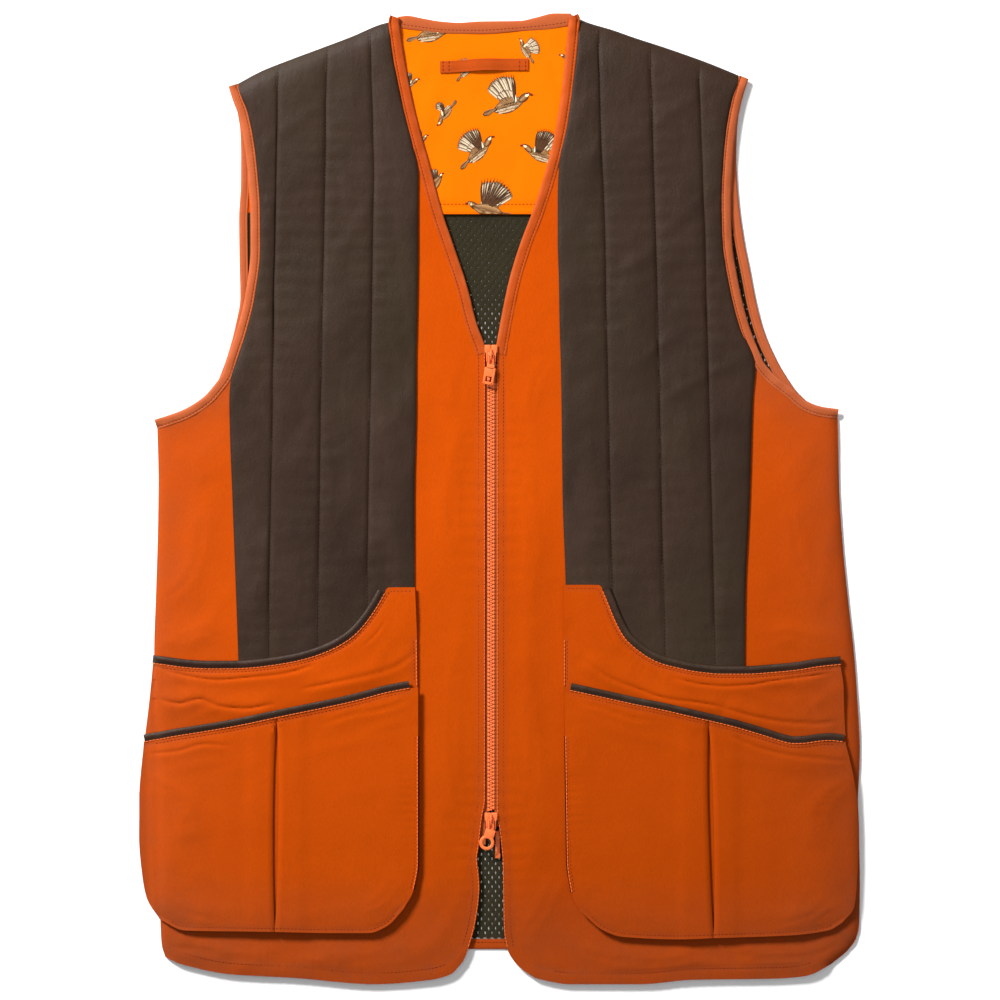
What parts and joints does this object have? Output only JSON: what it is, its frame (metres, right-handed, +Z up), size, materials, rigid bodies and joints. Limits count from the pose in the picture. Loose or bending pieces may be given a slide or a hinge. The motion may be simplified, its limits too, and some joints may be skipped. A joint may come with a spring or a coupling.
{
  "type": "shooting vest",
  "caption": "Sleeveless zip-front vest laid flat, with quilted leather shoulder patches, a net back and pleated pockets on both fronts.",
  "frame": {"origin": "middle of the vest's outline, on the surface it lies on", "axes": "+Z up from the surface, +Y towards the neck, +X towards the wearer's left side, which is on the right of the picture"},
  "size_m": [0.577, 0.777, 0.0126],
  "materials": {
    "twill": "matt cotton twill",
    "binding": "matt cotton tape",
    "leather": "satin grained leather",
    "net": "knitted net",
    "lining": "printed cotton",
    "zip": "moulded"
  },
  "bodies": {
    "vest": {"back_hem_band": "binding", "back_mesh": "net", "back_neck_binding": "binding", "bottom_slider": "zip", "hanger_loop": "binding", "left_armhole_binding": "binding", "left_back_armhole_binding": "binding", "left_front": "twill", "left_leather_patch": "leather", "left_mouth_trim": "leather", "left_neck_binding": "binding", "left_pocket_front": "twill", "left_pocket_panel": "twill", "left_pocket_top_trim": "leather", "left_zip_tape": "binding", "right_armhole_binding": "binding", "right_back_armhole_binding": "binding", "right_front": "twill", "right_leather_patch": "leather", "right_mouth_trim": "leather", "right_neck_binding": "binding", "right_pocket_front": "twill", "right_pocket_panel": "twill", "right_pocket_top_trim": "leather", "right_zip_tape": "binding", "top_slider": "zip", "yoke_lining": "lining", "yoke_outer": "twill", "zip_chain": "zip", "zip_pin": "zip"},
    "top_pull": {"top_pull_tab": "zip"},
    "bottom_pull": {"bottom_pull_ring": "zip"}
  },
  "joints": [
    {"name": "top_pull_lift", "type": "hinge", "parent": "vest", "child": "top_pull", "pos_m": [-0.00675, 0.1145, 0.0078], "axis": [-1, 0, 0], "range_deg": [0, 160]},
    {"name": "bottom_pull_lift", "type": "hinge", "parent": "vest", "child": "bottom_pull", "pos_m": [-0.00675, -0.257, 0.0078], "axis": [-1, 0, 0], "range_deg": [0, 160]}
  ]
}
